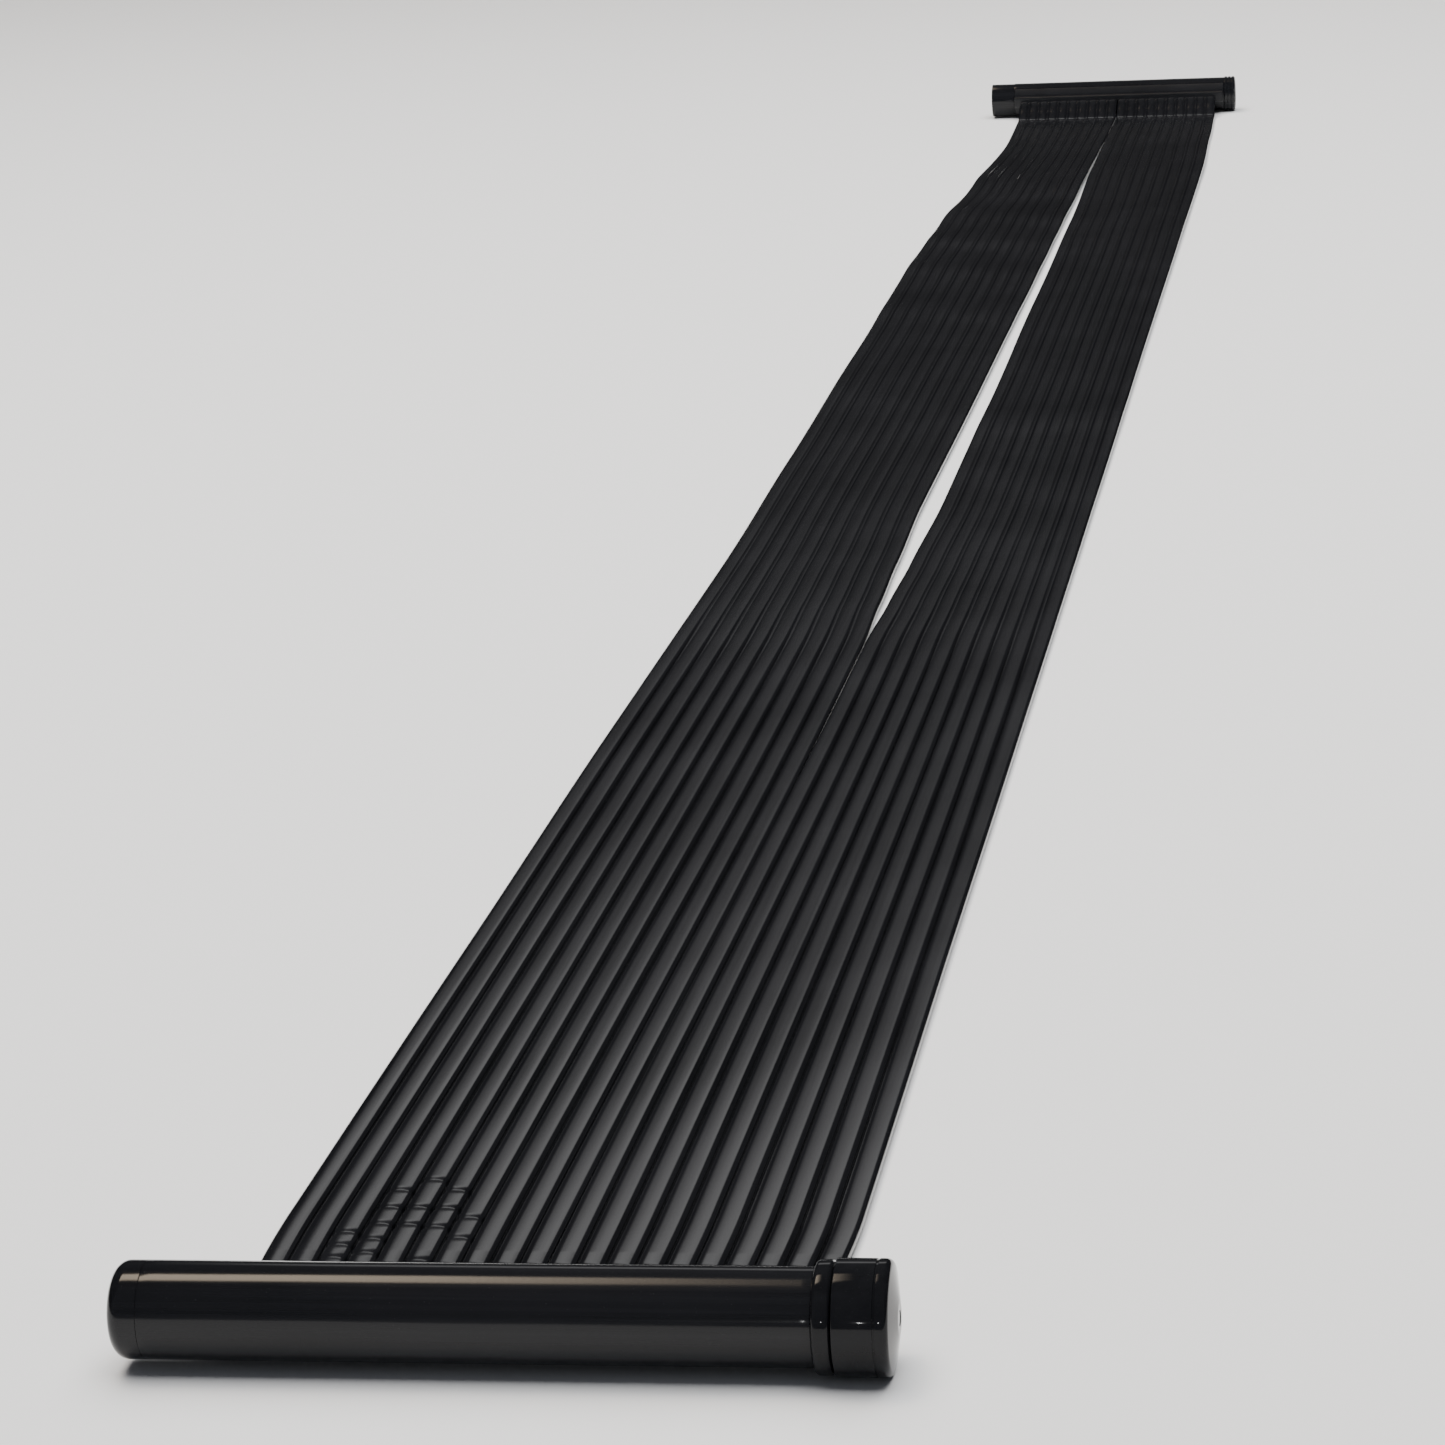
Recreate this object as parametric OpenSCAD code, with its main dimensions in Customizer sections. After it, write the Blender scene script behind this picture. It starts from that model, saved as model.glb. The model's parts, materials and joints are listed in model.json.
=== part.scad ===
// Roll-out solar collector mat for heating pool water.
// Two flat ribbons of parallel tubes run between a closed front header pipe
// and a rear header pipe whose two open spigots take the feed and return hoses.
// X runs along the headers, Y from the front header to the rear one, +Z is up.
// The origin is on the ground, under the middle of the whole part's box.

/* [Panel] */
// Overall length, over both headers
panel_len = 6096; // [1800:1:7400]
// Tubes in each of the two ribbons
tubes_per_ribbon = 10; // [3:1:14]
// Gap between the two ribbons
slit_w = 2; // [0.5:0.1:20]

/* [Tubes] */
// Distance from one tube to the next
tube_pitch = 19.4; // [16:0.1:26]
// Width of one tube
tube_w = 18.2; // [12:0.1:24]
// Height of one tube
tube_h = 8; // [5:0.1:12]
// Wall of a tube
tube_wall = 1.2; // [0.6:0.1:2]
// Thickness of the web that joins neighbouring tubes
web_t = 1.6; // [0.8:0.1:3]

/* [Headers] */
// Outer diameter of both header pipes
pipe_d = 61.5; // [56:0.1:68]
// Wall of both header pipes
pipe_wall = 4.2; // [2.4:0.1:6]
// How much narrower the spigots are than the header pipe, across
spigot_step = 1.2; // [0.4:0.1:4]
// Length of pipe past the mat, between the closed end and the ribbons
closed_stub = 28; // [20:1:150]
// Length of the welded end that closes the front header
dome_len = 20; // [12:1:50]
// Radius of the shoulder on the closed end
dome_round = 16; // [4:0.5:24]
// Length of rear header pipe past its rail on each side, before its spigots
rear_margin = 2; // [1:1:60]
// Length of the plain feed spigot
inlet_len = 43; // [25:1:120]
// Length of the beaded return spigot
outlet_len = 20; // [20:1:120]
// Number of hose beads on the return spigot
bead_count = 3; // [1:1:3]
// Distance between hose beads
bead_pitch = 6.5; // [5.5:0.1:6.5]
// Height of a hose bead above its spigot
bead_h = 2; // [0.5:0.1:2.5]
// Width of the flat crest of a hose bead
bead_flat = 1; // [0.5:0.1:1.5]
// Plain pipe between the last bead and the spigot's end
bead_inset = 1.5; // [0.5:0.1:1.5]

/* [Port rails] */
// Depth of the rail behind the pipe, where the tubes plug in
rail_depth = 18; // [14:0.5:30]
// Height of the rail
rail_h = 20; // [14:0.5:30]
// Rail length past the outer tubes on each side
rail_margin = 3; // [0:0.5:20]
// Radius of the rail's long edges, on the side of the tubes
rail_round = 3; // [1:0.5:5]
// Thickness of the saddle that wraps the pipe
saddle_t = 2.6; // [1:0.1:5]
// How far the saddle reaches round the pipe from the rail, above and below
saddle_angle = 44; // [30:1:60]
// How deep a tube plugs into the rail
socket_depth = 14; // [6:0.5:26]
// Diameter of the water port behind each tube
port_d = 5; // [2:0.1:5.6]

/* [Bends] */
// Free gap at each place where the mat flexes against a header
flex_gap = 6; // [5:0.5:20]
// Height of the axis that the mat folds in half about
fold_axis_h = 72; // [72:1:200]
// Free gap between the two halves of the mat at the fold
fold_gap = 1; // [0.3:0.1:20]

/* [Drain cap] */
// How much wider the cap is than the header pipe, across
cap_over = 10.5; // [9:0.5:30]
// Length of the cap
cap_len = 38; // [30:1:60]
// Thickness of the cap's closed end
cap_end_t = 6; // [3:0.5:12]
// Radius of the cap's outer edge
cap_round = 9; // [2:0.5:12]
// Length of the collar that the cap screws up to
collar_len = 12; // [6:0.5:20]
// How much wider the collar is than the header pipe, across
collar_over = 8.5; // [4:0.5:30]
// Radius of the collar's edges
collar_round = 3; // [1:0.5:5]
// How much narrower the neck that the cap screws on to is than the header pipe, across
neck_under = 6.5; // [2:0.5:12]
// Wall of the neck
neck_wall = 5.5; // [3:0.5:8]
// Radial clearance between the cap and the neck
cap_clear = 0.3; // [0.1:0.05:1]
// Gap between the cap and the collar when the cap is tight
cap_gap = 0.6; // [0.3:0.1:2]
// Thickness of the gasket
gasket_t = 3; // [1.5:0.1:6]
// Gap between the gasket and the neck when the cap is tight
gasket_gap = 0.1; // [0.05:0.05:0.5]
// Depth of the gauge groove round the cap
groove_d = 0.8; // [0.3:0.1:2]
// Width of the gauge groove
groove_w = 1.4; // [0.6:0.1:4]
// Distance from the groove to where the cap's end starts to round
groove_setback = 4; // [2:0.5:10]

/* [Divider] */
// Thickness of the plug that divides the rear header
divider_t = 16; // [10:0.5:40]
// Radial clearance round the divider plug
divider_clear = 0.3; // [0.1:0.05:1]
// Thickness of the seal in the plug's groove
seal_d = 4; // [2:0.1:6]

/* [Hidden] */
$fn = 96;
eps = 0.5;

pipe_r = pipe_d / 2;
bore_r = pipe_r - pipe_wall;
cap_r = pipe_r + cap_over / 2;
collar_r = pipe_r + collar_over / 2;
neck_r = pipe_r - neck_under / 2;
neck_bore_r = neck_r - neck_wall;
spigot_r = pipe_r - spigot_step / 2;
bead_r = spigot_r + bead_h;
bead_w = 2 * bead_h + bead_flat;

// Widths across the mat
ribbon_w = (tubes_per_ribbon - 1) * tube_pitch + tube_w;
mat_w = 2 * ribbon_w + slit_w;
left_reach = mat_w / 2 + closed_stub + dome_len;
right_reach = mat_w / 2 + rail_margin + collar_len + cap_gap + cap_len;
mat_x = (left_reach - right_reach) / 2;
left_x = mat_x - (ribbon_w + slit_w) / 2;
right_x = mat_x + (ribbon_w + slit_w) / 2;
rear_end = mat_w / 2 + rail_margin + rear_margin;

// Both headers rest on the ground by their widest round
front_z = max(cap_r, collar_r);
front_y = front_z - panel_len / 2;
rear_z = bead_r;
rear_y = panel_len / 2 - rear_z;
tube_z = tube_h / 2;

// Each riser is two equal arcs that meet on a slope. Its sine and cosine are both short
// decimals, so the arcs' ends meet exactly. Radius and run follow from the rise.
riser_sin = 0.6;
riser_cos = 0.8;
riser_angle = asin(riser_sin);
front_rise = front_z - tube_z;
rear_rise = rear_z - tube_z;
front_bend_r = front_rise / (2 * (1 - riser_cos));
rear_bend_r = rear_rise / (2 * (1 - riser_cos));
front_run = 2 * front_bend_r * riser_sin;
rear_run = 2 * rear_bend_r * riser_sin;
front_face_y = front_y + pipe_r + rail_depth;
rear_face_y = rear_y - pipe_r - rail_depth;
front_flex_y = front_face_y + front_run + flex_gap / 2;
rear_flex_y = rear_face_y - rear_run - flex_gap / 2;

// The cap stands on the right-hand end of the front header
collar_x = mat_x + mat_w / 2 + rail_margin;
cap_x = collar_x + collar_len + cap_gap;
neck_len = cap_gap + cap_len - cap_end_t - gasket_t - gasket_gap;
groove_at = cap_len - cap_round - groove_setback;

// Puts something made along Z along X, at a header's axis
module on_front_axis(x) { translate([x, front_y, front_z]) rotate([0, 90, 0]) children(); }
module on_rear_axis(x) { translate([x, rear_y, rear_z]) rotate([0, 90, 0]) children(); }

// A flat-sided tube seen end on, in a size given by its width and height
module oval(w, h) {
    square([w - h, h], center = true);
    for (side = [-1, 1]) translate([side * (w - h) / 2, 0]) circle(d = h);
}

// Runs its children once for each tube of a ribbon, from the ribbon's middle
module each_tube() {
    for (i = [0 : tubes_per_ribbon - 1])
        translate([(i - (tubes_per_ribbon - 1) / 2) * tube_pitch, 0]) children();
}

// The ribbon seen end on
module ribbon_section() {
    difference() {
        union() {
            each_tube() oval(tube_w, tube_h);
            square([(tubes_per_ribbon - 1) * tube_pitch, web_t], center = true);
        }
        each_tube() oval(tube_w - 2 * tube_wall, tube_h - 2 * tube_wall);
    }
}

// A straight length of ribbon from y0 to y1
module ribbon(x, y0, y1) {
    translate([x, y1, tube_z]) rotate([90, 0, 0])
        linear_extrude(height = y1 - y0) ribbon_section();
}

// A sector of a band of thickness h and radius r about (cy, cz), in the YZ plane.
// It runs from straight below (dir = 1) or above (dir = -1) its centre to the slope.
module band_sector(cy, cz, r, h, dir) {
    translate([cy, cz]) intersection() {
        difference() {
            circle(r = r + h / 2, $fn = 360);
            circle(r = r - h / 2, $fn = 360);
        }
        polygon([[0, 0], [0, -2 * r * dir], [2 * r * riser_sin * dir, -2 * r * riser_cos * dir]]);
    }
}

// A band w wide and h thick that leaves the ground along +Y and levels off at a rise
module riser_band(r, rise, run, w, h) {
    rotate([90, 0, 90]) translate([0, 0, -w / 2]) linear_extrude(height = w) {
        band_sector(0, r, r, h, 1);
        band_sector(run, rise - r, r, h, -1);
    }
}

// Tubes that leave the ground along +Y, rise and plug into a rail
module riser(r, rise, run) {
    difference() {
        union() {
            each_tube() riser_band(r, rise, run, tube_w, tube_h);
            riser_band(r, rise, run, (tubes_per_ribbon - 1) * tube_pitch, web_t);
        }
        each_tube() riser_band(r, rise, run, tube_w - 2 * tube_wall, tube_h - 2 * tube_wall);
    }
    translate([0, run + socket_depth, rise]) rotate([90, 0, 0])
        linear_extrude(height = socket_depth) ribbon_section();
}

module front_tails(x) {
    translate([x, front_flex_y - flex_gap / 2, tube_z]) mirror([0, 1, 0])
        riser(front_bend_r, front_rise, front_run);
}

module rear_tails(x) {
    translate([x, rear_flex_y + flex_gap / 2, tube_z])
        riser(rear_bend_r, rear_rise, rear_run);
}

// The rail seen end on, with the pipe's axis at the origin and the tubes at +X
module rail_outline() {
    reach = pipe_r + rail_depth;
    difference() {
        union() {
            translate([0, -rail_h / 2]) square([reach - rail_round, rail_h]);
            translate([0, rail_round - rail_h / 2]) square([reach, rail_h - 2 * rail_round]);
            for (side = [-1, 1])
                translate([reach - rail_round, side * (rail_h / 2 - rail_round)])
                    circle(r = rail_round);
            intersection() {
                circle(r = pipe_r + saddle_t);
                polygon([[0, 0],
                    [2 * pipe_r * cos(saddle_angle), 2 * pipe_r * sin(saddle_angle)],
                    [2 * pipe_r, 2 * pipe_r], [2 * pipe_r, -2 * pipe_r],
                    [2 * pipe_r * cos(saddle_angle), -2 * pipe_r * sin(saddle_angle)]]);
            }
        }
        circle(r = pipe_r);
    }
}

// A rail on the +Y side of a pipe that lies along X through the origin
module rail() {
    rail_w = mat_w + 2 * rail_margin;
    difference() {
        rotate([90, 0, 90]) translate([0, 0, -rail_w / 2])
            linear_extrude(height = rail_w) rail_outline();
        for (side = [-1, 1]) translate([side * (ribbon_w + slit_w) / 2, 0, 0]) {
            translate([0, pipe_r + rail_depth + eps, 0]) rotate([90, 0, 0])
                linear_extrude(height = socket_depth + eps) {
                    each_tube() oval(tube_w, tube_h);
                    square([(tubes_per_ribbon - 1) * tube_pitch, web_t], center = true);
                }
            rotate([-90, 0, 0]) each_tube() cylinder(d = port_d, h = pipe_r + rail_depth);
        }
    }
}

// A header pipe with one water port for each tube, on its +Y side
module ported_pipe(x0, x1) {
    difference() {
        translate([x0, 0, 0]) rotate([0, 90, 0]) difference() {
            cylinder(r = pipe_r, h = x1 - x0);
            translate([0, 0, -eps]) cylinder(r = bore_r, h = x1 - x0 + 2 * eps);
        }
        for (side = [-1, 1]) translate([mat_x + side * (ribbon_w + slit_w) / 2, 0, 0])
            rotate([-90, 0, 0]) each_tube() cylinder(d = port_d, h = pipe_r + eps);
    }
}

module front_header_pipe() {
    color("#17191e") translate([0, front_y, front_z])
        ported_pipe(mat_x - mat_w / 2 - closed_stub, collar_x);
}

module rear_header_pipe() {
    color("#17191e") translate([0, rear_y, rear_z]) mirror([0, 1, 0])
        ported_pipe(mat_x - rear_end, mat_x + rear_end);
}

// Half outline of a closed round end, radius along X and length along Y
module round_end_profile(r, len, round) {
    square([r - round, len]);
    square([r, len - round]);
    translate([r - round, len - round]) intersection() {
        circle(r = round);
        square(round);
    }
}

module front_end_dome() {
    inner_round = dome_round - pipe_wall;
    color("#17191e") translate([mat_x - mat_w / 2 - closed_stub, front_y, front_z])
        rotate([0, -90, 0]) rotate_extrude() difference() {
            round_end_profile(pipe_r, dome_len, dome_round);
            translate([0, -eps])
                round_end_profile(bore_r, dome_len - pipe_wall + eps, inner_round);
        }
}

module front_port_rail() {
    color("#101216") translate([mat_x, front_y, front_z]) rail();
}

module rear_port_rail() {
    color("#101216") translate([mat_x, rear_y, rear_z]) mirror([0, 1, 0]) rail();
}

module front_left_tails() { color("#1b1d22") front_tails(left_x); }
module front_right_tails() { color("#1b1d22") front_tails(right_x); }
module rear_left_tails() { color("#1b1d22") rear_tails(left_x); }
module rear_right_tails() { color("#1b1d22") rear_tails(right_x); }

module left_ribbon_front() {
    color("#1b1d22") ribbon(left_x, front_flex_y + flex_gap / 2, -fold_gap / 2);
}

module right_ribbon_front() {
    color("#1b1d22") ribbon(right_x, front_flex_y + flex_gap / 2, -fold_gap / 2);
}

module left_ribbon_rear() {
    color("#1b1d22") ribbon(left_x, fold_gap / 2, rear_flex_y - flex_gap / 2);
}

module right_ribbon_rear() {
    color("#1b1d22") ribbon(right_x, fold_gap / 2, rear_flex_y - flex_gap / 2);
}

// The collar and neck welded to the open end of the front header
module cap_spigot() {
    color("#14161a") on_front_axis(collar_x) rotate_extrude() difference() {
        union() {
            square([collar_r - collar_round, collar_len]);
            translate([0, collar_round])
                square([collar_r, collar_len - 2 * collar_round]);
            for (at = [collar_round, collar_len - collar_round])
                translate([collar_r - collar_round, at]) circle(r = collar_round);
            square([neck_r, collar_len + neck_len]);
        }
        translate([0, -eps]) square([neck_bore_r, collar_len + neck_len + 2 * eps]);
    }
}

module drain_cap() {
    inner_r = neck_r + cap_clear;
    color("#191b20") on_front_axis(cap_x) rotate_extrude() difference() {
        round_end_profile(cap_r, cap_len, cap_round);
        translate([0, -eps]) square([inner_r, cap_len - cap_end_t + eps]);
        translate([cap_r - groove_d, groove_at]) square([groove_d + eps, groove_w]);
    }
}

module cap_gasket() {
    color("#0c0c0d") on_front_axis(cap_x + cap_len - cap_end_t - gasket_t) difference() {
        cylinder(r = neck_r - cap_clear, h = gasket_t);
        translate([0, 0, -eps]) cylinder(r = neck_bore_r, h = gasket_t + 2 * eps);
    }
}

module inlet_spigot() {
    color("#17191e") on_rear_axis(mat_x - rear_end - inlet_len) difference() {
        cylinder(r = spigot_r, h = inlet_len);
        translate([0, 0, -eps]) cylinder(r = bore_r, h = inlet_len + 2 * eps);
    }
}

// One hose bead, standing out along X from the spigot's wall, with a flat crest
module bead_profile() {
    for (at = [bead_h, bead_h + bead_flat])
        translate([0, at]) circle(r = bead_h);
    translate([0, bead_h]) square([bead_h, bead_flat]);
}

// Hose beads stand on the outer end of the return spigot
module outlet_spigot() {
    color("#17191e") on_rear_axis(mat_x + rear_end) rotate_extrude()
        difference() {
            union() {
                square([spigot_r, outlet_len]);
                for (i = [0 : bead_count - 1])
                    translate([spigot_r, outlet_len - bead_inset - bead_w - i * bead_pitch])
                        bead_profile();
            }
            translate([0, -eps]) square([bore_r, outlet_len + 2 * eps]);
        }
}

// A blind plug in the middle of the rear header parts the feed from the return
module divider_plug() {
    color("#2a2c30") on_rear_axis(mat_x - divider_t / 2) rotate_extrude() difference() {
        square([bore_r - divider_clear, divider_t]);
        translate([bore_r - seal_d, (divider_t - seal_d) / 2]) square([seal_d, seal_d]);
    }
}

module divider_seal() {
    color("#0c0c0d") on_rear_axis(mat_x) rotate_extrude()
        translate([bore_r - seal_d / 2, 0]) circle(d = seal_d);
}

front_header_pipe();
front_end_dome();
front_port_rail();
front_left_tails();
front_right_tails();
cap_spigot();
drain_cap();
cap_gasket();
left_ribbon_front();
right_ribbon_front();
left_ribbon_rear();
right_ribbon_rear();
rear_left_tails();
rear_right_tails();
rear_port_rail();
rear_header_pipe();
inlet_spigot();
outlet_spigot();
divider_plug();
divider_seal();
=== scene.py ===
"""Looks of a roll-out solar pool collector: a black mat of tubes between two header pipes."""
import json
import math

import bpy
import numpy as np
from mathutils import Euler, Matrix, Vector, noise


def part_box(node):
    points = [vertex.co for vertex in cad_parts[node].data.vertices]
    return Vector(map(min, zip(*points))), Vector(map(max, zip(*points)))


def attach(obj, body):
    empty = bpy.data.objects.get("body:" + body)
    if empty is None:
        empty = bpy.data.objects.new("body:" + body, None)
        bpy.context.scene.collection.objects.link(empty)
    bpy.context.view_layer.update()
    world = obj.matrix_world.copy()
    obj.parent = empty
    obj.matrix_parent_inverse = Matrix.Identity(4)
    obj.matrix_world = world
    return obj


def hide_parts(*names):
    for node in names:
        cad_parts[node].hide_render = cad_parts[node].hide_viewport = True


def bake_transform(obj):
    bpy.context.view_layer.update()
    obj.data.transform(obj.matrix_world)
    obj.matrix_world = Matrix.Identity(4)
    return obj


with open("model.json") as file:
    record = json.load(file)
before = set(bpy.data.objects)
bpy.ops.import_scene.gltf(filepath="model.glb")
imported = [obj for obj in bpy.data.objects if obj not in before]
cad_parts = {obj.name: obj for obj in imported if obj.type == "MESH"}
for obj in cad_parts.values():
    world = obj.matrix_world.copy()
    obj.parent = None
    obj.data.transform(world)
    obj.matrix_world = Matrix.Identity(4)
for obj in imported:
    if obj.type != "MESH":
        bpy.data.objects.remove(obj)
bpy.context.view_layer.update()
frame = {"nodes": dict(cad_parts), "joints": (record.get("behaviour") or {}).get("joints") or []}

MM = 0.001


# ---------------------------------------------------------------- sizes from the frame

def centre_of(node):
    """Middle of a CAD node's box."""
    low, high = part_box(node)
    return (low + high) / 2


front_pipe_low, front_pipe_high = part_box("front_header_pipe")
rear_pipe_low, rear_pipe_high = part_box("rear_header_pipe")
front_axis = centre_of("front_header_pipe")
rear_axis = centre_of("rear_header_pipe")
PIPE_R = (front_pipe_high.z - front_pipe_low.z) / 2
PIPE_WALL = 4.2 * MM
RAIL_LIP = 2.6 * MM

left_low, left_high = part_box("left_ribbon_front")
right_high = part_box("right_ribbon_front")[1]
TUBES_PER_RIBBON = 10
TUBE_H = left_high.z - left_low.z
TUBE_W = 18.2 * MM
RIBBON_W = left_high.x - left_low.x
TUBE_PITCH = (RIBBON_W - TUBE_W) / (TUBES_PER_RIBBON - 1)
TUBE_Z = TUBE_H / 2
MAT_X = (left_low.x + right_high.x) / 2
MAT_W = right_high.x - left_low.x

front_rail_low, front_rail_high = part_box("front_port_rail")
rear_rail_low, rear_rail_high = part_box("rear_port_rail")
FRONT_FACE = front_rail_high.y
REAR_FACE = rear_rail_low.y
FRONT_RISER_END = left_low.y
REAR_RISER_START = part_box("left_ribbon_rear")[1].y
MAT_LENGTH = rear_axis.y - front_axis.y

JOINT_AT = {j["name"]: Vector(j.get("pos_m", (0, 0, 0))) for j in frame["joints"]}


# ---------------------------------------------------------------- camera

def look(location, yaw, pitch, roll, lens):
    """Camera at a place, turned by yaw from +Y towards +X, pitched down and rolled, in degrees."""
    data = bpy.data.cameras.new("camera")
    data.lens = lens
    data.sensor_width = 36
    data.clip_end = 200
    camera = bpy.data.objects.new("camera", data)
    camera.location = location
    turn = Euler((math.radians(90 - pitch), 0, math.radians(-yaw)), "XYZ").to_matrix()
    turn = turn @ Euler((0, 0, math.radians(roll)), "XYZ").to_matrix()
    camera.rotation_euler = turn.to_euler()
    bpy.context.scene.collection.objects.link(camera)
    bpy.context.scene.camera = camera
    return camera


look((MAT_X + 0.564, -5.5013, 1.0714), yaw=-9.276, pitch=14.71, roll=-2.908, lens=110.91)


# ---------------------------------------------------------------- materials

class Nodes:
    """Small helper that adds nodes to a material or world tree and links them."""

    def __init__(self, tree):
        self.tree = tree

    def add(self, kind, inputs=None, **settings):
        """A node of one kind. Inputs, by socket name or number, are values or (node, output)."""
        node = self.tree.nodes.new(kind)
        for name, value in settings.items():
            setattr(node, name, value)
        for key, value in (inputs or {}).items():
            if isinstance(value, tuple) and isinstance(value[0], bpy.types.Node):
                self.tree.links.new(value[0].outputs[value[1]], node.inputs[key])
            else:
                node.inputs[key].default_value = value
        return node

    def math(self, operation, a, b=0.0):
        """A Math node's output, ready to be linked."""
        node = self.add("ShaderNodeMath", {0: a, 1: b}, operation=operation)
        return (node, 0)

    def ramp(self, factor, stops):
        """A Color Ramp through grey or colour stops, each (place, colour)."""
        node = self.add("ShaderNodeValToRGB", {0: factor})
        band = node.color_ramp
        while len(band.elements) < len(stops):
            band.elements.new(0.5)
        for element, (place, colour) in zip(band.elements, stops):
            element.position = place
            element.color = (*colour, 1) if isinstance(colour, tuple) else (colour,) * 3 + (1,)
        return (node, 0)

    def noise(self, vector, scale, detail, rough):
        """A Noise Texture's factor."""
        node = self.add("ShaderNodeTexNoise", {"Vector": vector, "Scale": scale, "Detail": detail,
                                               "Roughness": rough})
        return (node, 0)

    def stretched(self, vector, scale):
        """Coordinates scaled differently along each axis."""
        node = self.add("ShaderNodeMapping", {"Vector": vector, "Scale": scale})
        return (node, 0)

    def between(self, factor, low, high):
        """A factor from 0.3 to 0.7 mapped on to a range."""
        node = self.add("ShaderNodeMapRange", {"Value": factor, "From Min": 0.3, "From Max": 0.7,
                                               "To Min": low, "To Max": high})
        return (node, 0)


# Noise scales: drawn lines along an axis, or none; soft clouds; dust specks; fine grain
LINE_SCALES = {"X": (0.6, 90, 90), "Y": (90, 0.6, 90), "": (14, 14, 14)}
CLOUD_SCALE, SPECK_SCALE, GRAIN_SCALE = 5.0, 900.0, 420.0
DUST = (0.10, 0.10, 0.105, 1)
DUST_SHARE = 0.25


def black_plastic(name, dark, light, rough, grain, streak_axis, specular=0.5):
    """Black moulded or extruded plastic.

    dark and light are the two tones it clouds between, rough is (smooth, dull), grain is the
    height of its fine texture in metres, and streak_axis is the axis that drawn lines follow.
    """
    material = bpy.data.materials.new(name)
    material.use_nodes = True
    tree = material.node_tree
    nodes = Nodes(tree)
    shader = tree.nodes["Principled BSDF"]
    place = (nodes.add("ShaderNodeTexCoord"), "Object")
    streaks = nodes.noise(nodes.stretched(place, LINE_SCALES[streak_axis]), 3.0, 6.0, 0.6)
    clouds = nodes.noise(place, CLOUD_SCALE, 5.0, 0.55)
    specks = nodes.noise(place, SPECK_SCALE, 2.0, 0.5)
    mixed = nodes.math("ADD", nodes.math("MULTIPLY", streaks, 0.5),
                       nodes.math("MULTIPLY", clouds, 0.5))
    tone = nodes.ramp(mixed, [(0.36, dark), (0.62, light)])
    dust = nodes.ramp(specks, [(0.70, 0.0), (0.80, 1.0)])
    dusted = nodes.add("ShaderNodeMix", {"Factor": nodes.math("MULTIPLY", dust, DUST_SHARE),
                                         "A": tone, "B": DUST}, data_type="RGBA")
    tree.links.new(dusted.outputs["Result"], shader.inputs["Base Color"])
    tree.links.new(nodes.between(mixed, *rough)[0].outputs[0], shader.inputs["Roughness"])
    shader.inputs["Specular IOR Level"].default_value = specular
    fine = nodes.noise(place, GRAIN_SCALE, 3.0, 0.6)
    height = nodes.math("ADD", nodes.math("MULTIPLY", fine, 0.5),
                        nodes.math("MULTIPLY", streaks, 0.8))
    bump = nodes.add("ShaderNodeBump", {"Height": height, "Distance": grain, "Strength": 0.6})
    tree.links.new(bump.outputs["Normal"], shader.inputs["Normal"])
    return material


INK = (0.0050, 0.0052, 0.0062)
COAL = (0.0095, 0.0098, 0.0115)
SMOKE = (0.020, 0.021, 0.025)

header_black = black_plastic("header_black", INK, COAL, (0.09, 0.17), 0.00004, "X", specular=0.27)
cap_black = black_plastic("cap_black", INK, COAL, (0.04, 0.08), 0.00002, "", specular=0.2)
rail_black = black_plastic("rail_black", INK, COAL, (0.38, 0.55), 0.00025, "")
tube_black = black_plastic("tube_black", INK, COAL, (0.10, 0.17), 0.00004, "Y")
plug_black = black_plastic("plug_black", COAL, SMOKE, (0.45, 0.6), 0.0002, "")
seal_black = black_plastic("seal_black", INK, INK, (0.6, 0.75), 0.0002, "")


# ---------------------------------------------------------------- mesh helpers

def piece_from(name, points, faces, material, smooth=True):
    """A mesh object at the origin from points and faces."""
    mesh = bpy.data.meshes.new(name)
    mesh.from_pydata([tuple(p) for p in points], [], faces)
    mesh.materials.append(material)
    mesh.polygons.foreach_set("use_smooth", [smooth] * len(mesh.polygons))
    mesh.update()
    piece = bpy.data.objects.new(name, mesh)
    bpy.context.scene.collection.objects.link(piece)
    return piece


def plain_mesh(piece):
    """Replaces a piece's mesh with its evaluated one, and removes its modifiers."""
    graph = bpy.context.evaluated_depsgraph_get()
    graph.update()
    mesh = bpy.data.meshes.new_from_object(piece.evaluated_get(graph))
    old = piece.data
    piece.modifiers.clear()
    piece.data = mesh
    bpy.data.meshes.remove(old)
    return piece


def arc(along, out, radius, start, end, steps):
    """Points (along, out) on an arc about (along, out), between two angles in degrees."""
    angles = [math.radians(start + (end - start) * i / steps) for i in range(steps + 1)]
    return [(along + radius * math.cos(a), out + radius * math.sin(a)) for a in angles]


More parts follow.
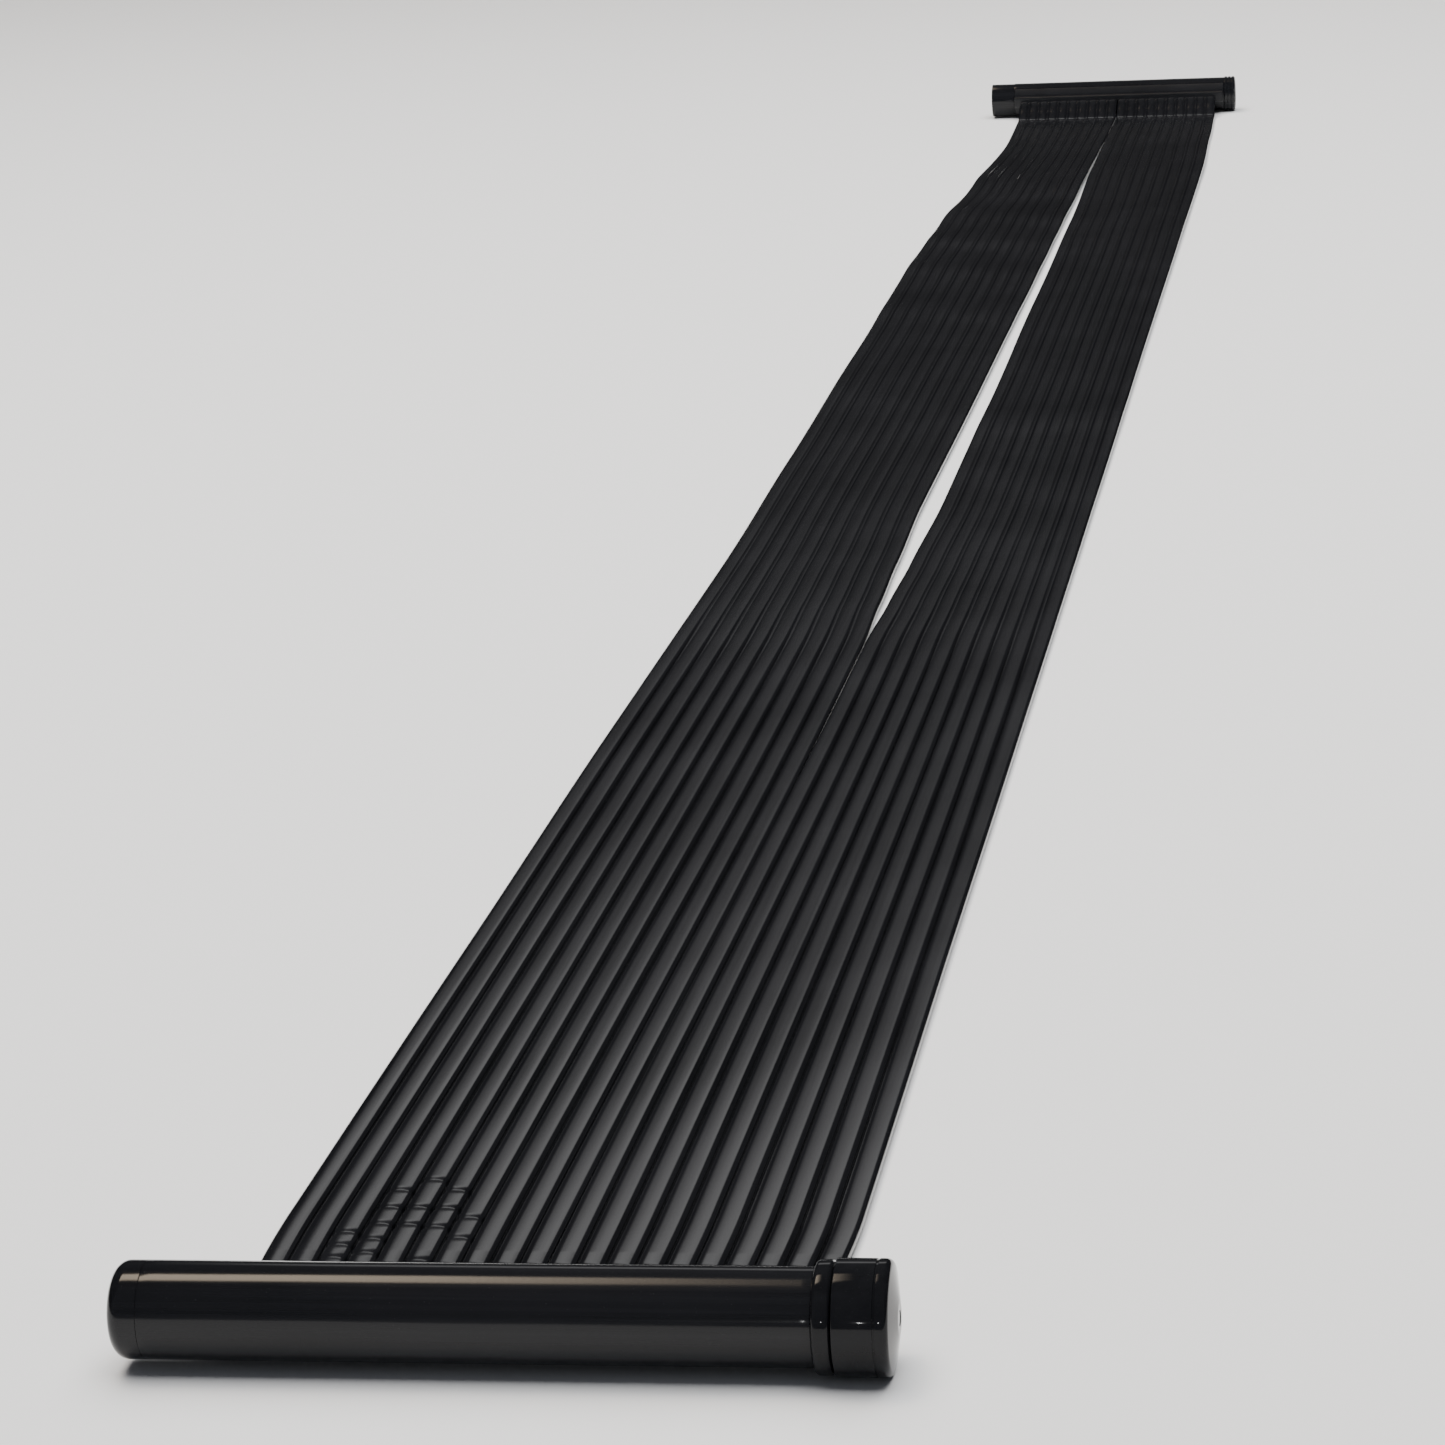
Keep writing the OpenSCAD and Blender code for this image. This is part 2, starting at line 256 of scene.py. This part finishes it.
def lathe(name, outline, axis, material, steps=128, unevenness=0.0):
    """A closed outline of (x, radius) points turned about an axis along X.

    Points at radius 0 become poles. unevenness is how far the moulded wall wanders, in metres.
    """
    points, rings = [], []
    for x, r in outline:
        if r < 1e-7:
            rings.append([len(points)])
            points.append(Vector((x, axis.y, axis.z)))
            continue
        ring = []
        for k in range(steps):
            angle = 2 * math.pi * k / steps
            out = Vector((0, math.cos(angle), math.sin(angle)))
            wander = noise.noise(Vector((x * 9, out.y * 1.4, out.z * 1.4))) * unevenness
            ring.append(len(points))
            points.append(Vector((x, axis.y, axis.z)) + out * (r + wander))
        rings.append(ring)
    faces = []
    for one, two in zip(rings, rings[1:] + rings[:1]):
        if len(one) == 1 and len(two) == 1:
            continue
        for k in range(steps):
            n = (k + 1) % steps
            if len(one) == 1:
                faces.append((one[0], two[n], two[k]))
            elif len(two) == 1:
                faces.append((one[k], one[n], two[0]))
            else:
                faces.append((one[k], one[n], two[n], two[k]))
    piece = piece_from(name, points, faces, material)
    turn_outwards(piece)
    return piece


def turn_outwards(piece):
    """Makes a closed piece's faces point outwards."""
    mesh = piece.data
    mesh.calc_loop_triangles()
    points = np.array([v.co for v in mesh.vertices])
    corners = points[np.array([t.vertices for t in mesh.loop_triangles])]
    volume = np.einsum("ij,ij->i", corners[:, 0], np.cross(corners[:, 1], corners[:, 2])).sum()
    if volume < 0:
        mesh.flip_normals()


def sharpen(piece, degrees=35):
    """Keeps edges steeper than an angle crisp under smooth shading."""
    piece.data.set_sharp_from_angle(angle=math.radians(degrees))


# ---------------------------------------------------------------- the mat

LEFT, RIGHT = -1, 1

# How far the tubes stand from their straight places, in mm, at shares of the way from front
# to rear: the slit's half opening, how far its middle lies to the right, and each outer edge
SLIT_HALF = [(0.302, -0.9), (0.33, 2.4), (0.36, 5.4), (0.41, 9.7), (0.51, 8.4), (0.64, 5.9),
             (0.77, 4.2), (0.86, 0.9), (0.91, -0.1), (0.94, -0.9)]
SLIT_MIDDLE = [(0.02, 0), (0.27, 9), (0.36, 9), (0.51, 8), (0.64, 6), (0.77, 3), (0.9, 0)]
EDGE_OUT = {
    LEFT: [(0.008, -5), (0.04, 0), (0.22, -0.4), (0.36, -4.5), (0.455, 0.3), (0.57, 6.1),
           (0.70, 13), (0.77, 9), (0.84, -5), (0.92, -16), (0.99, -9)],
    RIGHT: [(0.008, -5), (0.04, 2), (0.86, 2), (0.93, -4), (0.99, -9)],
}

# Soft creases across a ribbon: share of the way to the rear, height, half length, side
CREASES = [
    (0.625, 1.4, 0.075, LEFT), (0.69, 2.0, 0.090, LEFT), (0.735, 1.8, 0.075, LEFT),
    (0.78, 2.6, 0.110, LEFT), (0.84, 3.4, 0.140, LEFT), (0.49, 0.9, 0.080, RIGHT),
    (0.74, 1.2, 0.140, RIGHT), (0.86, 2.4, 0.150, RIGHT),
]

# Creases across single tubes beside the front header: tube counted from the left, and the
# distances from the rail's face in metres
KINKS = {2: (0.108, 0.130, 0.152), 3: (0.118, 0.142, 0.167, 0.198, 0.230),
         4: (0.167, 0.198, 0.252), 5: (0.106, 0.165, 0.195, 0.230), 6: (0.142, 0.180)}
KINK_DEPTH = 0.09
KINK_HALF = 0.0036
# Tubes are this much smaller where they enter a rail, easing out over a short reach
NECKED_IN, REAR_NECKED_IN = 0.22, 0.03
NECK_REACH = 0.05
# Small unevenness of the mat, in metres: sideways, in broad swells, and tube by tube; it dies
# out over a short reach beside the rails
SIDEWAYS, SWELL, RIPPLE = 0.9 * MM, 2.2 * MM, 0.7 * MM
FREE_REACH = 0.12
CREASE_LEAN = 0.010
KINK_SHIFT = 0.004
SECTION_CHANGE = 0.012


def share_at(y):
    """How far y is from the front header's axis to the rear one's, from 0 to 1."""
    return (y - front_axis.y) / MAT_LENGTH


def eased(t):
    """Two equal arcs: flat at 0 and at 1."""
    t = min(max(t, 0.0), 1.0)
    return 2 * t * t if t < 0.5 else 1 - 2 * (1 - t) ** 2


def riser_height(y):
    """Height of a tube's middle, on the ground or on its way up to a header."""
    front = eased((FRONT_RISER_END - y) / (FRONT_RISER_END - FRONT_FACE))
    rear = eased((y - REAR_RISER_START) / (REAR_FACE - REAR_RISER_START))
    return TUBE_Z + front * (front_axis.z - TUBE_Z) + rear * (rear_axis.z - TUBE_Z)


def drift(profile, s):
    """A value in metres at share s, eased between the places of a profile given in mm."""
    if s <= profile[0][0]:
        return profile[0][1] * MM
    for (at, here), (to, there) in zip(profile, profile[1:]):
        if s < to:
            t = (s - at) / (to - at)
            return (here + (there - here) * t * t * (3 - 2 * t)) * MM
    return profile[-1][1] * MM


def spread(side, s):
    """How far a ribbon's two edges stand outwards at share s: beside the slit, and outside."""
    return drift(SLIT_HALF, s) + side * drift(SLIT_MIDDLE, s), drift(EDGE_OUT[side], s)


def crease_height(y, side, across):
    """Height that the soft creases add; across is 0 at the slit and 1 at the outer edge."""
    s = share_at(y)
    total = 0.0
    for at, height, half, crease_side in CREASES:
        if crease_side == side:
            lean = CREASE_LEAN * (across - 0.5)
            total += height * MM * math.exp(-((s - at - lean) * MAT_LENGTH / half) ** 2)
    return total


def free_share(y):
    """1 where the mat lies free, falling to 0 at the rails."""
    gap = min(y - FRONT_FACE, REAR_FACE - y)
    return min(max(gap / FREE_REACH, 0.0), 1.0)


def tube_point(side, number, y):
    """Middle of a tube at y. number counts from the slit outwards, from 0."""
    across = number / (TUBES_PER_RIBBON - 1)
    slit_edge = MAT_X + side * (MAT_W / 2 - RIBBON_W)
    x = slit_edge + side * (TUBE_W / 2 + number * TUBE_PITCH)
    free = free_share(y)
    s = share_at(y)
    slit_out, edge_out = spread(side, s)
    x += side * (slit_out * (1 - across) + edge_out * across)
    x += free * SIDEWAYS * noise.noise(Vector((number * 3.7 + side * 11, y * 1.7, 0.3)))
    rolling = 0.5 + 0.5 * noise.noise(Vector((x * 2.2, y * 0.75, 4.0)))
    ripple = 0.5 + 0.5 * noise.noise(Vector((number * 1.9 + side * 7, y * 3.1, 2.0)))
    z = riser_height(y) + free * (SWELL * rolling + RIPPLE * ripple)
    z += free * crease_height(y, side, across)
    return Vector((x, y, z))


def neck(side, number, y):
    """Scale of a tube's section at y: 1, or less where the tube is kinked."""
    column = number if side == RIGHT else -1 - number
    from_left = column + TUBES_PER_RIBBON
    scale = 1 + SECTION_CHANGE * noise.noise(Vector((from_left * 2.3, y * 6, 9.0)))
    into_front = min(max((y - FRONT_FACE) / NECK_REACH, 0.0), 1.0)
    into_rear = min(max((REAR_FACE - y) / NECK_REACH, 0.0), 1.0)
    scale -= NECKED_IN * (1 - eased(into_front)) + REAR_NECKED_IN * (1 - eased(into_rear))
    slit_out, edge_out = spread(side, share_at(y))
    squeezed = (edge_out - slit_out) / (TUBES_PER_RIBBON - 1) / TUBE_PITCH
    scale += min(squeezed, 0.0)
    for distance in KINKS.get(from_left, ()):
        distance += KINK_SHIFT * noise.noise(Vector((from_left * 3.1, distance * 40, 5.0)))
        scale -= KINK_DEPTH * math.exp(-((y - FRONT_FACE - distance) / KINK_HALF) ** 2)
    return scale


def stations(y_from, y_to, coarse, fine_zones):
    """Places along Y between two ends, closer together inside the fine zones (low, high, step)."""
    places = [y_from]
    while places[-1] < y_to - 1e-9:
        step = coarse
        for low, high, fine in fine_zones:
            if low - coarse <= places[-1] <= high:
                step = min(step, fine)
        places.append(min(places[-1] + step, y_to))
    return places


def tube_tree():
    """Node tree that sweeps a rounded flat section along tube lines, and a strip along webs."""
    tree = bpy.data.node_groups.new("tubes_along_lines", "GeometryNodeTree")
    face = tree.interface
    face.new_socket("Lines", in_out="INPUT", socket_type="NodeSocketGeometry")
    for name in ("Tube width", "Tube height", "Fullness", "Web width", "Web thickness"):
        face.new_socket(name, in_out="INPUT", socket_type="NodeSocketFloat")
    face.new_socket("Steps round", in_out="INPUT", socket_type="NodeSocketInt")
    face.new_socket("Plastic", in_out="INPUT", socket_type="NodeSocketMaterial")
    face.new_socket("Mat", in_out="OUTPUT", socket_type="NodeSocketGeometry")
    nodes = Nodes(tree)
    given = nodes.add("NodeGroupInput")
    is_web = nodes.add("GeometryNodeInputNamedAttribute", {"Name": "web"}, data_type="BOOLEAN")
    section = nodes.add("GeometryNodeInputNamedAttribute", {"Name": "section"}, data_type="FLOAT")
    curves = nodes.add("GeometryNodeMeshToCurve", {"Mesh": (given, "Lines")})
    level = nodes.add("GeometryNodeSetCurveNormal", {"Curve": (curves, "Curve")}, mode="Z_UP")
    parted = nodes.add("GeometryNodeSeparateGeometry",
                       {"Geometry": (level, "Curve"), "Selection": (is_web, "Attribute")},
                       domain="POINT")
    circle = nodes.add("GeometryNodeCurvePrimitiveCircle",
                       {"Resolution": (given, "Steps round"), "Radius": 1.0})
    place = nodes.add("ShaderNodeSeparateXYZ", {0: (nodes.add("GeometryNodeInputPosition"), 0)})

    def flattened(axis, size):
        """One coordinate of a round section, pushed out towards a flat-topped oval."""
        grown = nodes.math("POWER", nodes.math("ABSOLUTE", (place, axis)), (given, "Fullness"))
        signed = nodes.math("MULTIPLY", grown, nodes.math("SIGN", (place, axis)))
        half = nodes.math("MULTIPLY", (given, size), 0.5)
        return nodes.math("MULTIPLY", signed, half)

    oval = nodes.add("ShaderNodeCombineXYZ", {"X": flattened("X", "Tube width"),
                                              "Y": flattened("Y", "Tube height")})
    rounded = nodes.add("GeometryNodeSetPosition",
                        {"Geometry": (circle, "Curve"), "Position": (oval, 0)})
    tubes = nodes.add("GeometryNodeCurveToMesh",
                      {"Curve": (parted, "Inverted"), "Profile Curve": (rounded, "Geometry"),
                       "Scale": (section, "Attribute"), "Fill Caps": True})
    strip = nodes.add("GeometryNodeCurvePrimitiveQuadrilateral",
                      {"Width": (given, "Web width"), "Height": (given, "Web thickness")})
    webs = nodes.add("GeometryNodeCurveToMesh",
                     {"Curve": (parted, "Selection"), "Profile Curve": (strip, "Curve"),
                      "Fill Caps": True})
    joined = nodes.add("GeometryNodeJoinGeometry")
    for made in (tubes, webs):
        tree.links.new(made.outputs["Mesh"], joined.inputs[0])
    smooth = nodes.add("GeometryNodeSetShadeSmooth", {"Geometry": (joined, 0)})
    real = nodes.add("GeometryNodeRealizeInstances", {"Geometry": (smooth, 0)})
    paint = nodes.add("GeometryNodeSetMaterial",
                      {"Geometry": (real, 0), "Material": (given, "Plastic")})
    nodes.add("NodeGroupOutput", {"Mat": (paint, 0)})
    return tree


def give(piece, tree, **values):
    """Adds a node tree to a piece as a modifier, with its inputs set by their names."""
    modifier = piece.modifiers.new("shape", "NODES")
    modifier.node_group = tree
    names = {item.name.replace(" ", "_").lower(): item.identifier
             for item in tree.interface.items_tree if item.in_out == "INPUT"}
    for name, value in values.items():
        modifier[names[name]] = value
    piece.update_tag()


TUBES = tube_tree()
WEB_W = TUBE_PITCH - TUBE_W + 5.5 * MM
WEB_T = 1.6 * MM
# Height of the webs above the tubes' middle, in mm, at shares of the way to the rear
WEB_LEVEL = [(0.26, -1.9), (0.34, 2.2), (0.55, 2.7)]


def ribbon(name, side, places):
    """One stretch of a ribbon: its tubes, and the webs between them."""
    points, edges, web, section = [], [], [], []

    def line(at, is_web, scale_at):
        first = len(points)
        for y in places:
            points.append(at(y))
            web.append(is_web)
            section.append(scale_at(y))
        edges.extend((first + i, first + i + 1) for i in range(len(places) - 1))

    for number in range(TUBES_PER_RIBBON):
        line(lambda y: tube_point(side, number, y), False, lambda y: neck(side, number, y))
    for number in range(TUBES_PER_RIBBON - 1):
        line(lambda y: (tube_point(side, number, y) + tube_point(side, number + 1, y)) / 2
             + Vector((0, 0, drift(WEB_LEVEL, share_at(y)))), True, lambda y: 1.0)
    mesh = bpy.data.meshes.new(name)
    mesh.from_pydata([tuple(p) for p in points], edges, [])
    mesh.attributes.new("web", "BOOLEAN", "POINT").data.foreach_set("value", web)
    mesh.attributes.new("section", "FLOAT", "POINT").data.foreach_set("value", section)
    piece = bpy.data.objects.new(name, mesh)
    bpy.context.scene.collection.objects.link(piece)
    give(piece, TUBES, tube_width=TUBE_W, tube_height=TUBE_H, web_width=WEB_W,
         web_thickness=WEB_T, steps_round=28, fullness=0.66, plastic=tube_black)
    return plain_mesh(piece)


SOCKET = 12 * MM
FRONT_CUT, REAR_CUT = -1.4, 1.4
FLEX_HALF = 0.07

for side, word in ((LEFT, "left"), (RIGHT, "right")):
    flex = JOINT_AT["front_header_flex"]
    near = ribbon(word + "_ribbon_near", side,
                  stations(FRONT_FACE - SOCKET, FRONT_CUT, 0.04,
                           [(FRONT_FACE - SOCKET, FRONT_FACE + 0.10, 0.004),
                            (FRONT_FACE + 0.10, FRONT_FACE + 0.26, 0.0015)]))
    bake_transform(near)
    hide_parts("front_" + word + "_tails")
    middle = ribbon(word + "_ribbon_middle", side,
                    stations(FRONT_CUT, REAR_CUT, 0.03, [(-0.13, 0.13, 0.008)]))
    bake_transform(middle)
    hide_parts(word + "_ribbon_front", word + "_ribbon_rear")
    flex = JOINT_AT["rear_header_flex"]
    far = ribbon(word + "_ribbon_far", side,
                 stations(REAR_CUT, REAR_FACE + SOCKET, 0.03,
                          [(flex.y - FLEX_HALF, REAR_FACE + SOCKET, 0.01)]))
    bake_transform(far)
    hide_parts("rear_" + word + "_tails")


# ---------------------------------------------------------------- headers

def soften(corners, steps=6):
    """A closed outline from corners (x, radius, rounding), each rounded by an arc."""
    outline = []
    for i, (x, r, rounding) in enumerate(corners):
        here = Vector((x, r))
        back = Vector(corners[i - 1][:2]) - here
        on = Vector(corners[(i + 1) % len(corners)][:2]) - here
        half = back.angle(on) / 2
        room = 0.48 * min(back.length, on.length) * math.tan(half)
        rounding = min(rounding, room)
        if rounding <= 0 or half > math.radians(88):
            outline.append((x, r))
            continue
        back, on = back.normalized(), on.normalized()
        middle = here + (back + on).normalized() * rounding / math.sin(half)
        first = here + back * rounding / math.tan(half) - middle
        last = here + on * rounding / math.tan(half) - middle
        sweep = first.angle_signed(last)
        for k in range(steps + 1):
            angle = -sweep * k / steps
            turned = Vector((first.x * math.cos(angle) - first.y * math.sin(angle),
                             first.x * math.sin(angle) + first.y * math.cos(angle)))
            outline.append(tuple(middle + turned))
    return outline


def finish(piece, body, slot, *nodes):
    """Keeps edges crisp, ties a piece to its body, and replaces CAD nodes with it. slot is not
    used.
    """
    sharpen(piece)
    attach(piece, body)
    if nodes:
        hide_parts(*nodes)
    return piece


EDGE = 0.6 * MM
WALL_WANDER, RAIL_WANDER = 0.12 * MM, 0.15 * MM
PIPE_RINGS, RAIL_STEPS = 60, 80
BORE_R = PIPE_R - PIPE_WALL


def tube_corners(x0, x1, outer, inner, outside=()):
    """Corners of a pipe with softened rims; outside adds corners along its outer wall."""
    return [(x0, inner, EDGE), (x0, outer, EDGE), *outside, (x1, outer, EDGE), (x1, inner, EDGE)]


def long_pipe(name, low, high, axis, body, node):
    """A header pipe, in many rings so that its wall can wander a little."""
    length = high.x - low.x
    outside = [(low.x + length * i / PIPE_RINGS, PIPE_R, 0) for i in range(1, PIPE_RINGS)]
    outline = soften(tube_corners(low.x, high.x, PIPE_R, BORE_R, outside))
    finish(lathe(name, outline, axis, header_black, unevenness=WALL_WANDER),
           body, "header_plastic", node)


long_pipe("front_header", front_pipe_low, front_pipe_high, front_axis, "front_header",
          "front_header_pipe")
long_pipe("rear_header", rear_pipe_low, rear_pipe_high, rear_axis, "rear_header",
          "rear_header_pipe")

DOME_ROUND = 16 * MM
dome_low, dome_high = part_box("front_end_dome")
finish(lathe("closed_end", soften([
    (dome_high.x, PIPE_R, 0), (dome_low.x, PIPE_R, DOME_ROUND), (dome_low.x, 0, 0),
    (dome_low.x + PIPE_WALL, 0, 0), (dome_low.x + PIPE_WALL, BORE_R, DOME_ROUND - PIPE_WALL),
    (dome_high.x, BORE_R, 0)], 18), front_axis, header_black, unevenness=WALL_WANDER),
    "front_header", "header_plastic", "front_end_dome")

# The collar and the plain neck
NECK_R, NECK_BORE_R = 27.5 * MM, 22 * MM
spigot_low, spigot_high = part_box("cap_spigot")
cap_low, cap_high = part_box("drain_cap")
COLLAR_R = (spigot_high.z - spigot_low.z) / 2
COLLAR_LEN, COLLAR_ROUND, NECK_EDGE = 12 * MM, 3 * MM, 0.8 * MM
collar_end = spigot_low.x + COLLAR_LEN
finish(lathe("cap_neck", soften([
    (spigot_low.x, NECK_BORE_R, 0), (spigot_low.x, COLLAR_R, COLLAR_ROUND),
    (collar_end, COLLAR_R, COLLAR_ROUND), (collar_end, NECK_R, NECK_EDGE),
    (spigot_high.x, NECK_R, EDGE), (spigot_high.x, NECK_BORE_R, EDGE)]),
    front_axis, cap_black), "front_header", "cap_plastic", "cap_spigot")

# The drain cap: a gauge groove, a rounded end, and a moulding mark in the middle of the end
CAP_R = (cap_high.z - cap_low.z) / 2
CAP_END, CAP_ROUND, CAP_CLEAR = 6 * MM, 9 * MM, 0.3 * MM
GROOVE_D, GROOVE_W, GROOVE_SETBACK = 0.8 * MM, 1.4 * MM, 4 * MM
groove_x = cap_high.x - CAP_ROUND - GROOVE_SETBACK
cap_inner = NECK_R + CAP_CLEAR
MARK_R, MARK_DEPTH = 5 * MM, 0.35 * MM
CAP_CROWN = 4 * MM
finish(lathe("screw_cap", soften([
    (cap_low.x, cap_inner, EDGE), (cap_low.x, CAP_R, 0.9 * MM),
    (groove_x, CAP_R, 0.2 * MM), (groove_x, CAP_R - GROOVE_D, 0),
    (groove_x + GROOVE_W, CAP_R - GROOVE_D, 0), (groove_x + GROOVE_W, CAP_R, 0.2 * MM),
    (cap_high.x - CAP_CROWN, CAP_R, CAP_ROUND), (cap_high.x, MARK_R * 2, 20 * MM),
    (cap_high.x, MARK_R, 0.2 * MM),
    (cap_high.x - MARK_DEPTH, MARK_R, 0), (cap_high.x - MARK_DEPTH, 0, 0),
    (cap_high.x - CAP_END, 0, 0), (cap_high.x - CAP_END, cap_inner, EDGE)], 10),
    front_axis, cap_black), "cap", "cap_plastic", "drain_cap")

# Spigots of the rear header; the return spigot carries hose beads
SPIGOT_R = 30.15 * MM
BEAD_H, BEAD_FLAT, BEAD_PITCH, BEAD_INSET, BEADS = 2 * MM, 1 * MM, 6.5 * MM, 1.5 * MM, 3
for name, node in (("supply_spigot", "inlet_spigot"), ("return_spigot", "outlet_spigot")):
    low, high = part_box(node)
    outside = []
    if node == "outlet_spigot":
        width = 2 * BEAD_H + BEAD_FLAT
        for i in reversed(range(BEADS)):
            start = high.x - BEAD_INSET - width - i * BEAD_PITCH
            outside += [(start, SPIGOT_R, 0), (start, SPIGOT_R + BEAD_H, BEAD_H),
                        (start + width, SPIGOT_R + BEAD_H, BEAD_H), (start + width, SPIGOT_R, 0)]
    finish(lathe(name, soften(tube_corners(low.x, high.x, SPIGOT_R, BORE_R, outside)),
                 rear_axis, header_black), "rear_header", "header_plastic", node)


def rail(name, axis, face_y, low, high):
    """A rail along X: a rounded bar on the mat's side, with lips that wrap the pipe."""
    forward = 1 if face_y > axis.y else -1
    reach = abs(face_y - axis.y)
    half = RAIL_H / 2
    lip_r = PIPE_R + RAIL_LIP
    meet = math.degrees(math.asin(half / lip_r))
    bar = soften([(lip_r * math.cos(math.radians(meet)), half, 1.5 * MM), (reach, half, RAIL_ROUND),
                  (reach, -half, RAIL_ROUND),
                  (lip_r * math.cos(math.radians(meet)), -half, 1.5 * MM), (0, 0, 0)])[:-1]
    outline = (arc(0, 0, lip_r, SADDLE_ANGLE, meet + 2, 20) + bar
               + arc(0, 0, lip_r, -meet - 2, -SADDLE_ANGLE, 20)
               + arc(0, 0, PIPE_R, -SADDLE_ANGLE, SADDLE_ANGLE, 48))
    steps, count = RAIL_STEPS, len(outline)
    points, faces = [], []
    for i in range(steps + 1):
        x = low.x + (high.x - low.x) * i / steps
        for out, up in outline:
            wander = noise.noise(Vector((x * 14, out * 30, up * 30))) * RAIL_WANDER
            grow = wander if math.hypot(out, up) > lip_r + 1 * MM else 0
            points.append((x, axis.y + forward * (out + grow), axis.z + up))
    for i in range(steps):
        for k in range(count):
            n = (k + 1) % count
            faces.append((i * count + k, i * count + n, (i + 1) * count + n, (i + 1) * count + k))
    faces.append(tuple(range(count)))
    faces.append(tuple(steps * count + k for k in reversed(range(count))))
    piece = piece_from(name, points, faces, rail_black)
    turn_outwards(piece)
    return piece


RAIL_H, RAIL_ROUND, SADDLE_ANGLE = 20 * MM, 3 * MM, 44
finish(rail("front_rail", front_axis, FRONT_FACE, front_rail_low, front_rail_high),
       "front_header", "rail_plastic", "front_port_rail")
finish(rail("rear_rail", rear_axis, REAR_FACE, rear_rail_low, rear_rail_high),
       "rear_header", "rail_plastic", "rear_port_rail")

for node, paint in (("cap_gasket", seal_black), ("divider_plug", plug_black),
                    ("divider_seal", seal_black)):
    part = frame["nodes"][node]
    part.data.materials.clear()
    part.data.materials.append(paint)


# ---------------------------------------------------------------- floor and light

def floor():
    """A wide pale floor."""
    half = 60
    material = bpy.data.materials.new("floor")
    material.use_nodes = True
    shader = material.node_tree.nodes["Principled BSDF"]
    shader.inputs["Base Color"].default_value = (0.86, 0.86, 0.86, 1)
    shader.inputs["Roughness"].default_value = 0.9
    shader.inputs["Specular IOR Level"].default_value = 0.1
    ground = piece_from("floor", [(-half, -half, 0), (half, -half, 0), (half, half, 0),
                                  (-half, half, 0)], [(0, 1, 2, 3)], material, smooth=False)
    ground.location.z = -0.4 * MM


def panel_light(name, location, aim, size, power, colour, in_gloss=True):
    """A rectangular area light that faces a point."""
    data = bpy.data.lights.new(name, "AREA")
    data.shape = "RECTANGLE"
    data.size, data.size_y = size
    data.energy = power
    data.color = colour
    light = bpy.data.objects.new(name, data)
    light.location = location
    light.rotation_euler = (Vector(aim) - Vector(location)).to_track_quat("-Z", "Y").to_euler()
    light.visible_glossy = in_gloss
    bpy.context.scene.collection.objects.link(light)
    return light


def surroundings():
    """A dark room with one broad bright panel ahead of the mat, above its far end."""
    world = bpy.data.worlds.new("room")
    world.use_nodes = True
    bpy.context.scene.world = world
    tree = world.node_tree
    nodes = Nodes(tree)
    back = tree.nodes["Background"]
    way = nodes.add("ShaderNodeSeparateXYZ", {0: (nodes.add("ShaderNodeTexCoord"), "Generated")})
    bearing = nodes.math("ARCTAN2", (way, "X"), (way, "Y"))

    def window(value, opens, full, ends, gone):
        """1 between full and ends, falling softly to 0 at opens and gone."""
        rise = nodes.add("ShaderNodeMapRange",
                         {"Value": value, "From Min": opens, "From Max": full},
                         interpolation_type="SMOOTHSTEP")
        fall = nodes.add("ShaderNodeMapRange", {"Value": value, "From Min": ends, "From Max": gone,
                                                "To Min": 1.0, "To Max": 0.0},
                         interpolation_type="SMOOTHSTEP")
        return nodes.math("MULTIPLY", (rise, 0), (fall, 0))

    def sine(degrees):
        return math.sin(math.radians(degrees))

    # Brightness against height: the panel starts sharply, then brightens upwards
    rising = [(0, 0.010), (9, 0.014), (12.5, 0.028), (13.6, 0.046), (14.2, 0.080), (16, 0.092),
              (18, 0.125), (19.6, 0.165), (20.4, 0.28), (21, 0.66), (22.5, 0.95), (25, 0.90),
              (29, 0.05), (90, 0.04)]
    up = nodes.ramp((way, "Z"), [(sine(at), value) for at, value in rising])
    width = window(bearing, *(math.radians(a) for a in (-17.5, -15, 0, 4)))
    panel = nodes.math("MULTIPLY", up, width)
    # A warm strip high above, on the left, and a faint, slightly cool wall behind
    high = window((way, "Z"), sine(61), sine(64), sine(76), sine(80))
    left = window((way, "X"), -0.6, -0.5, -0.26, -0.12)
    ahead = window((way, "Y"), 0.02, 0.12, 1.5, 1.6)
    strip = nodes.math("MULTIPLY", nodes.math("MULTIPLY", high, left), ahead)
    behind = window((way, "Y"), -1.6, -1.5, -0.5, -0.1)
    lit = nodes.add("ShaderNodeMix", {"Factor": strip, "A": panel, "B": (12.0, 10.0, 7.7, 1)},
                    data_type="RGBA")
    cool = nodes.add("ShaderNodeMix", {"Factor": behind,
                                       "A": (0.010, 0.010, 0.011, 1), "B": (0.175, 0.185, 0.21, 1)},
                     data_type="RGBA")
    both = nodes.add("ShaderNodeMix", {"Factor": 1.0, "A": (lit, "Result"), "B": (cool, "Result")},
                     data_type="RGBA", blend_type="ADD")
    tree.links.new(both.outputs["Result"], back.inputs["Color"])
    back.inputs["Strength"].default_value = 1.0


floor()
surroundings()
panel_light("overhead", (0, 0, 7), (0, 0, 0), (8, 12), 1500, (1, 1, 1), in_gloss=False)
panel_light("glint", (-0.3, -8.5, 1.25), (0.2, -3, 0), (0.05, 0.09), 4, (1, 1, 1))
